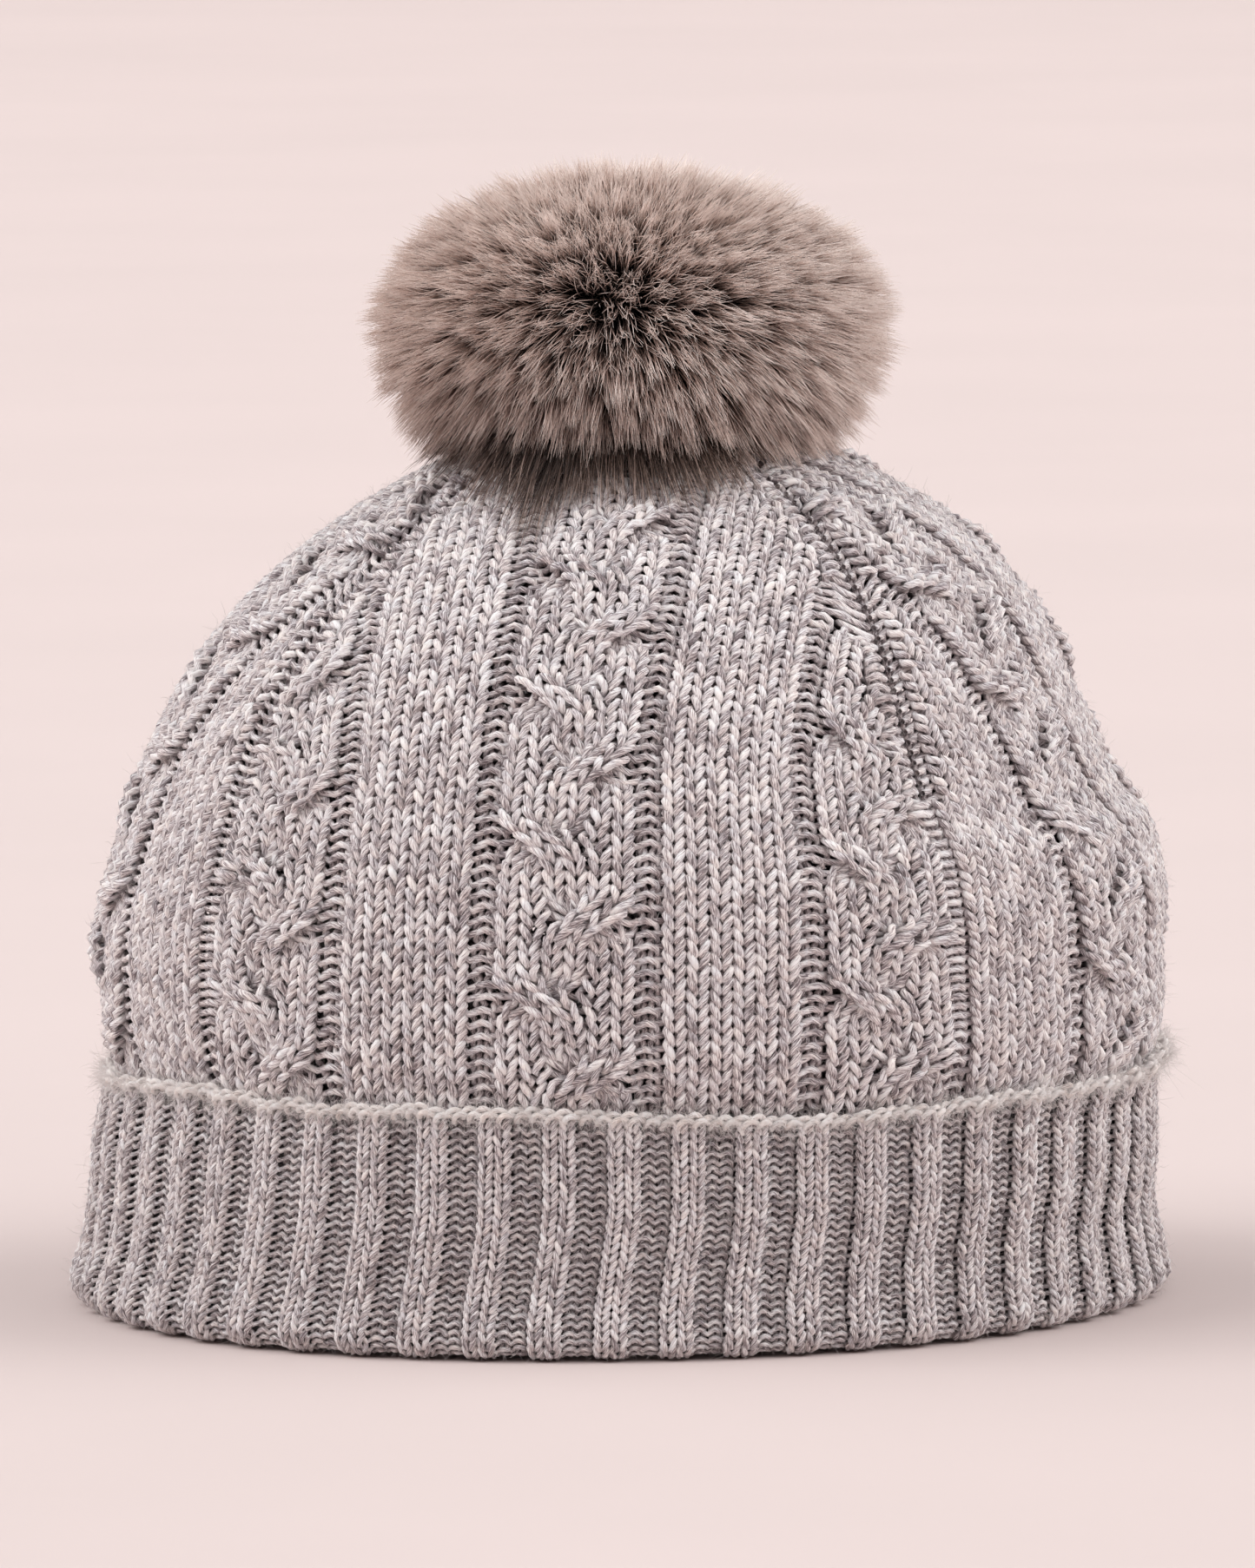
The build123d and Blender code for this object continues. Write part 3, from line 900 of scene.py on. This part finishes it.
def spread(part, number):
    """Random directions over one piece's share of the pompom."""
    azimuth = TAU * (part + rng.random(number)) / FUR_PIECES
    return directions(azimuth, np.arcsin(rng.uniform(-0.93, 1.0, number)))


def crown_height(x, y):
    """Height of the crown's outside over a place."""
    return DOME_BASE + DOME_RISE * np.sqrt(np.maximum(1 - (x**2 + y**2) / BODY_RADIUS**2, 0))


def fur(mat):
    """Guard hairs on the pelt, as tapered needles that gather in small locks."""
    count = STRANDS
    for part in range(FUR_PIECES):
        out, lock_out = spread(part, count), spread(part, LOCKS)
        nearest = np.argmax(out @ lock_out.T, 1)
        root = FUR_MIDDLE + out * FUR_ROOTS + 3 * MM * UP
        gathered = unit(out + 0.42 * (lock_out[nearest] - out))
        height = np.where(out[:, 2] < 0, FUR_BOTTOM, FUR_TOP)
        sizes = np.stack([np.full(count, FUR_REACH), np.full(count, FUR_REACH), height], 1)
        tip = FUR_MIDDLE + gathered * sizes
        lock_length = rng.normal(0, 0.025, LOCKS)[nearest]
        length = rng.normal(0.975, 0.028, count) + lock_length - 0.22 * (rng.random(count) ** 6)
        tip = root + (tip - root) * length[:, None] + [1.4 * MM, 0, 0]
        tip += rng.normal(0, 0.8 * MM, (LOCKS, 3))[nearest] + rng.normal(0, 0.45 * MM, (count, 3))
        for azimuth, level, push in PARTINGS:
            away = out - directions(math.radians(azimuth), math.radians(level))
            near = np.exp(-((away**2).sum(1) / 0.16))
            tip += away * (push * near)[:, None]
        above = crown_height(tip[:, 0], tip[:, 1]) + 0.6 * MM
        buried = np.maximum(above - tip[:, 2], 0) * (out[:, 2] < 0.2)
        tip[:, 2] += buried
        tip[:, :2] *= 1 + (0.55 * buried / (np.hypot(tip[:, 0], tip[:, 1]) + 6 * MM))[:, None]
        droop = smooth(0.1, -0.8, out[:, 2])
        bend = rng.normal(0, 0.9 * MM, (count, 3)) + droop[:, None] * (1.5 * MM * UP)
        thick = 0.092 * MM * np.array([1.0, 1.1, 1.05, 0.85, 0.15])
        lock_tone = rng.normal(0, 0.12, LOCKS)[nearest]
        # Painted light on the hairs: those pointing down are painted darker as shade, those pointing up
        # lighter as a highlight.
        under = 0.42 * smooth(0.0, -0.6, out[:, 2])
        top_highlight = 0.12 * smooth(0.0, 0.8, out[:, 2])
        tone = np.clip(0.50 + 0.32 * rng.normal(0, 1, count) + lock_tone + top_highlight - under, 0, 1)
        place_fur(needles(f"fur_hairs_{part}", root, tip, bend, thick, mat, tone))


def place_fur(piece):
    """Applies a piece of hair's transform to its mesh and hides the fur coat that it replaces."""
    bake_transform(piece)
    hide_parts("fur_coat")


def fur_fringe(mat):
    """Darker underhair that hangs out from under the pompom and lies on the crown."""
    count = 5200
    azimuth = rng.uniform(0, TAU, count)
    tufts = 46
    tuft = np.floor(azimuth / (TAU) * tufts).astype(int)
    tuft_turn = (np.arange(tufts) + 0.5) * TAU / tufts
    reach_of = rng.uniform(25, 40, tufts) + 11 * np.clip(np.cos(tuft_turn - 4.7), -0.2, 1)
    reach_of *= 1 - 0.3 * np.clip(np.cos(tuft_turn), 0, 1)
    root_reach = rng.uniform(12, 23, count) * MM
    root_height = np.maximum(
        crown_height(root_reach, 0) + 3 * MM + rng.uniform(0, 5, count) * MM, pelt_low[2] - 1 * MM
    )
    root = polar(azimuth, root_reach, root_height)
    lean = azimuth + 0.6 * (tuft_turn[tuft] - azimuth) + rng.normal(0, 0.05, count)
    tip_reach = (reach_of[tuft] + rng.normal(0, 2.2, count)) * MM
    x, y = np.cos(lean) * tip_reach, np.sin(lean) * tip_reach
    lift = 1.0 * MM + np.abs(rng.normal(0, 1.1, count)) * MM
    tip = np.stack([x, y, crown_height(x, y) + lift], 1)
    tip[:, 0] += 3.0 * MM * smooth(0.152, 0.142, tip[:, 2])
    bend = rng.normal(0, 0.7 * MM, (count, 3)) + [0, 0, 1.8 * MM]
    thick = 0.095 * MM * np.array([1.0, 1.05, 0.95, 0.7, 0.15])
    tone = np.clip(0.5 + 0.25 * rng.normal(0, 1, count), 0, 1)
    place_fur(needles("fur_fringe", root, tip, bend, thick, mat, tone, 0.66))


# ---- Materials ----
def material(name, base, roughness, metallic, sheen):
    made = bpy.data.materials.new(name)
    made.use_nodes = True
    for key, value in (
        ("Base Color", (*base, 1)),
        ("Roughness", roughness),
        ("Metallic", metallic),
        ("Sheen Weight", sheen),
        ("Sheen Roughness", 0.4),
        ("Specular IOR Level", 0.2 if sheen else 0.5),
    ):
        made.node_tree.nodes["Principled BSDF"].inputs[key].default_value = value
    return made


class Nodes:
    """Short way to add and join shader nodes."""

    def __init__(self, made):
        self.tree = made.node_tree
        self.shader = self.tree.nodes["Principled BSDF"]

    def add(self, kind, inputs=None, **settings):
        """Adds a node with its settings, then sets or joins its inputs, which go by name or number."""
        node = self.tree.nodes.new(kind)
        for key, value in settings.items():
            setattr(node, key, value)
        for key, value in (inputs or {}).items():
            if isinstance(value, bpy.types.NodeSocket):
                self.join(value, node.inputs[key])
            else:
                node.inputs[key].default_value = value
        return node

    def join(self, out, into):
        self.tree.links.new(out, into)

    def paint(self, colour):
        self.join(colour, self.shader.inputs["Base Color"])

    def math(self, operation, a, b=0.0):
        return self.add("ShaderNodeMath", {0: a, 1: b}, operation=operation).outputs[0]

    def ramp(self, factor, stops):
        node = self.add("ShaderNodeValToRGB", {0: factor})
        elements = node.color_ramp.elements
        while len(elements) < len(stops):
            elements.new(0.5)
        for element, (position, colour) in zip(elements, stops):
            element.position = position
            element.color = (*colour, 1)
        return node.outputs[0]

    def noise(self, vector, scale, detail, roughness=0.5):
        inputs = {"Vector": vector, "Scale": scale, "Detail": detail, "Roughness": roughness}
        return self.add("ShaderNodeTexNoise", inputs).outputs["Fac"]

    def vector(self, x, y, z=0.0):
        return self.add("ShaderNodeCombineXYZ", {0: x, 1: y, 2: z}).outputs[0]

    def multiply(self, a, b):
        inputs = {"Factor": 1.0, "A": a, "B": b}
        return self.add("ShaderNodeMix", inputs, data_type="RGBA", blend_type="MULTIPLY").outputs["Result"]

    def bump(self, height, strength, distance):
        node = self.add("ShaderNodeBump", {"Strength": strength, "Distance": distance, "Height": height})
        self.join(node.outputs[0], self.shader.inputs["Normal"])


def melange(name, dark, middle, light, pitch=9.0, crevice_shade=0.58, shift=0.0):
    """Heathered wool yarn: streaks of light and dark fibre that run along it with a slow twist.

    Where the yarn lies deep in the fabric its colour is darkened with painted shade, for the light that
    hardly reaches between its fibres."""
    mat = material(name, middle, 0.95, 0.0, 0.35)
    n = Nodes(mat)
    split = n.add("ShaderNodeSeparateXYZ", {0: n.add("ShaderNodeUVMap", uv_map="yarn").outputs[0]})
    along, around = split.outputs[0], split.outputs[1]
    line = n.add("ShaderNodeAttribute", attribute_name="line").outputs["Fac"]
    twist = n.math("MULTIPLY", n.math("ADD", n.math("MULTIPLY", along, 1 / pitch), around), TAU)
    streak = n.vector(
        n.math("MULTIPLY", along, 0.23),
        n.math("COSINE", twist),
        n.math("ADD", n.math("SINE", twist), n.math("MULTIPLY", line, 57.0)),
    )
    fibres = n.noise(streak, 2.9, 4.0, 0.66)
    slow = n.noise(n.vector(n.math("MULTIPLY", along, 0.16), n.math("MULTIPLY", line, 91.0)), 1.0, 2.0)
    tone = n.math("ADD", fibres, n.math("MULTIPLY", n.math("SUBTRACT", slow, 0.5 - shift), 0.5))
    colour = n.ramp(tone, ((0.385, dark), (0.50, middle), (0.61, light)))
    hue = n.noise(n.vector(n.math("MULTIPLY", along, 0.4), n.math("MULTIPLY", line, 33.0)), 1.0, 3.0)
    colour = n.multiply(colour, n.ramp(hue, ((0.35, (0.97, 0.99, 1.0)), (0.65, (1.0, 0.955, 0.92)))))
    # Painted shade: the colour darkens with the depth attribute, most where the yarn lies behind the fabric's
    # front.
    depth = n.add("ShaderNodeAttribute", attribute_name="depth").outputs["Fac"]
    deep = tuple(c * crevice_shade for c in (1.0, 0.93, 0.95))
    shade = n.ramp(
        n.math("MULTIPLY", depth, 0.25),
        ((0.17, (1, 1, 1)), (0.44, deep), (0.60, deep), (0.80, (0.85, 0.85, 0.85))),
    )
    n.paint(n.multiply(colour, shade))
    n.bump(n.noise(streak, 8.0, 3.0), 0.6, 0.3 * MM)
    return mat


def speckled(name, colours, scale, roughness, metallic=0.0, sheen=0.0, bump_depth=0.0, stretch=(1, 1, 1)):
    """Material with uneven colour and a bump from noise in the object's own space."""
    mat = material(name, colours[1], roughness, metallic, sheen)
    n = Nodes(mat)
    own_space = n.add("ShaderNodeTexCoord").outputs["Object"]
    mapping = n.add("ShaderNodeMapping", {"Scale": stretch, "Vector": own_space})
    noise = n.noise(mapping.outputs[0], scale, 6.0)
    n.paint(n.ramp(noise, tuple(zip((0.3, 0.5, 0.7), colours))))
    if bump_depth:
        n.bump(noise, 0.6, bump_depth)
    return mat


def woven_tape():
    """Satin tape with fine ribs of weft."""
    colours = (0.62, 0.58, 0.54), (0.80, 0.77, 0.73), (0.88, 0.86, 0.83)
    mat = material("label_tape", colours[1], 0.5, 0.0, 0.2)
    n = Nodes(mat)
    split = n.add("ShaderNodeSeparateXYZ", {0: n.add("ShaderNodeTexCoord").outputs["Object"]})
    weft = n.math("SINE", n.math("MULTIPLY", split.outputs[2], TAU / (0.3 * MM)))
    side = n.math("SUBTRACT", split.outputs[0], split.outputs[1])
    warp = n.math("SINE", n.math("MULTIPLY", side, TAU / (0.35 * MM)))
    weave = n.math("MULTIPLY", n.math("ADD", weft, warp), 0.25)
    n.paint(n.ramp(n.math("ADD", weave, 0.5), tuple(zip((0.0, 0.5, 1.0), colours))))
    n.bump(weave, 0.5, 0.1 * MM)
    return mat


def fur_material():
    """Hair that is dark at its root and pale at its tip, lighter or darker by its own tone."""
    mat = material("fur_hair", (0.2, 0.15, 0.12), 0.55, 0.0, 0.1)
    n = Nodes(mat)
    tones = n.add("ShaderNodeAttribute", attribute_name="hair").outputs["Color"]
    split = n.add("ShaderNodeSeparateColor", {0: tones})
    along = n.math("MULTIPLY", split.outputs[0], split.outputs[2])
    shifted = n.math("ADD", along, n.math("MULTIPLY", n.math("SUBTRACT", split.outputs[1], 0.5), 0.35))
    colour = n.ramp(
        shifted,
        (
            (0.0, (0.010, 0.006, 0.005)),
            (0.42, (0.035, 0.022, 0.017)),
            (0.58, (0.17, 0.115, 0.094)),
            (0.76, (0.70, 0.54, 0.475)),
            (0.92, (1.0, 0.88, 0.82)),
        ),
    )
    n.paint(colour)
    return mat


# Dark, middle and light colour, noise scale, roughness, metallic, sheen, bump depth and stretch.
FINISHES = {
    "sewing_thread": (((0.1, 0.085, 0.08), (0.16, 0.14, 0.135), (0.24, 0.21, 0.2)), 4000, 0.6, 0, 0.2),
    "hide": (((0.3, 0.2, 0.14), (0.42, 0.3, 0.22), (0.52, 0.39, 0.3)), 260, 0.85, 0, 0.2, 0.4 * MM),
    "fibre_fill": (((0.7, 0.7, 0.68), (0.82, 0.82, 0.8), (0.9, 0.9, 0.88)), 700, 0.95, 0, 0.4, 0.5 * MM),
    "loose_fibre": (((0.45, 0.4, 0.4), (0.72, 0.67, 0.67), (0.95, 0.91, 0.9)), 300, 0.9, 0, 0.4),
    # Painted highlight: loose fibres at the top edge are lighter than the others.
    "edge_highlight_fibre": (((0.7, 0.65, 0.63), (0.9, 0.86, 0.84), (1.0, 0.98, 0.97)), 300, 0.9, 0, 0.4),
    "aged_brass": (((0.3, 0.22, 0.12), (0.42, 0.32, 0.19), (0.52, 0.42, 0.28)), 500, 0.38, 1, 0, 0.05 * MM),
    "spring_steel": (
        ((0.42, 0.42, 0.43), (0.55, 0.55, 0.56), (0.65, 0.65, 0.66)), 2500, 0.3, 1, 0, 0.02 * MM, (1, 1, 6)
    ),
    "felt": (((0.12, 0.11, 0.11), (0.2, 0.185, 0.185), (0.32, 0.3, 0.3)), 1100, 0.95, 0, 0.4, 0.4 * MM),
    "hide_disc": (((0.22, 0.14, 0.09), (0.34, 0.23, 0.16), (0.44, 0.32, 0.24)), 900, 0.6, 0, 0.1, 0.2 * MM),
    "stage_paper": (((0.61, 0.523, 0.506), (0.62, 0.531, 0.514), (0.63, 0.539, 0.522)), 6.0, 0.9),
}


def finished(name):
    return speckled(name, *FINISHES[name])


def dress(mat, nodes):
    """Gives carried-over CAD nodes their final material."""
    for node in nodes:
        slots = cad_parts[node].material_slots
        if not slots:
            raise ValueError(f"{node} has no material slot")
        for held in slots:
            held.material = mat


# ---- Stage ----
def stage_bowl():
    """Pale seamless floor that curves up into a wall all round."""
    flat, bend, wall = 7.0, 1.5, 4.0
    profile = [(0.001, 0.0), (flat, 0.0)]
    for step in range(1, 13):
        a = math.radians(90 * step / 12)
        profile.append((flat + bend * math.sin(a), bend - bend * math.cos(a)))
    profile.append((flat + bend, wall))
    turned_mesh("stage_bowl", profile, finished("stage_paper"), 96)


def sun(name, azimuth, elevation, size, strength):
    """Distant soft light. Azimuth 0 is in front of the hat, and 90 is to the right in the picture."""
    data = bpy.data.lights.new(name, "SUN")
    data.energy = strength
    data.angle = math.radians(size)
    lamp = bpy.data.objects.new(name, data)
    bpy.context.scene.collection.objects.link(lamp)
    lamp.rotation_euler = (math.pi / 2 - math.radians(elevation), 0, math.radians(azimuth))


def lights():
    world = bpy.data.worlds.new("studio")
    world.use_nodes = True
    background = world.node_tree.nodes["Background"]
    background.inputs[0].default_value = (1.0, 0.985, 0.985, 1)
    background.inputs[1].default_value = 0.66
    bpy.context.scene.world = world
    sun("key", -66, 40, 50, 1.34)
    sun("fill", 68, 30, 60, 1.12)
    sun("rim_left", -102, 30, 60, 1.3)
    sun("rim_right", 100, 30, 60, 1.6)


ROLL = -0.5


def camera():
    distance, tall, sensor = 3.0, 0.2655, 36
    azimuth, elevation = math.radians(7.0), math.radians(5.7)
    target = np.array([0.0, 0.0, 0.0869])
    back = directions(azimuth - math.pi / 2, elevation)
    data = bpy.data.cameras.new("camera")
    data.sensor_width = sensor
    data.lens = sensor * distance / tall
    data.clip_start, data.clip_end = 0.05, 30
    cam = bpy.data.objects.new("camera", data)
    bpy.context.scene.collection.objects.link(cam)
    cam.location = target + back * distance
    cam.rotation_euler = (math.pi / 2 - elevation, 0, azimuth)
    cam.rotation_euler.rotate_axis("Z", math.radians(ROLL))
    bpy.context.scene.camera = cam


# ---- Build ----
DARK, MIDDLE, LIGHT = (0.21, 0.178, 0.190), (0.73, 0.675, 0.695), (1.0, 1.0, 1.0)
wool = melange("wool_body_yarn", DARK, MIDDLE, LIGHT)
rib_wool = melange("wool_rib_yarn", DARK, MIDDLE, LIGHT, 7.0, 0.27)
# Painted highlight: the bind-off is the rib's wool in lighter colours, with less painted shade.
edge_highlight_colours = (0.50, 0.45, 0.44), (0.93, 0.89, 0.87), (1.0, 0.99, 0.98)
edge_highlight_wool = melange("wool_edge_highlight_yarn", *edge_highlight_colours, 7.0, 0.5, 0.08)
thread = finished("sewing_thread")
knit_body(wool)
rib_knit(rib_wool)
bind_off(edge_highlight_wool)
seams(wool)
twisted_ring("gather_plies", 3, 5 * MM, "hat", "wool_thread", "gather_yarn", wool)
twisted_ring("draw_plies", 2, 3 * MM, "pompom", "sewing_thread", "draw_thread", thread)
care_label(woven_tape())
label_thread(thread)
socket_ties(thread)
pelt(finished("hide"))
stuffing(finished("fibre_fill"))
hair = fur_material()
fur(hair)
fur_fringe(hair)
loose = finished("loose_fibre")
for part in range(2):
    halo.build(f"loose_fibres_{part}", "wool_body", 22000, 1.4 * MM, loose)
edge_halo.build("loose_fibres_edge", "wool_rib", 22000, 2.2 * MM, finished("edge_highlight_fibre"))
for name, nodes in (
    ("aged_brass", ("snap_cap", "snap_stud", "snap_socket")),
    ("spring_steel", ("ring_spring",)),
    ("felt", ("felt_washer",)),
    ("hide_disc", ("base_disc",)),
):
    dress(finished(name), nodes)
stage_bowl()
lights()
camera()
bpy.context.scene.view_settings.view_transform = "Standard"
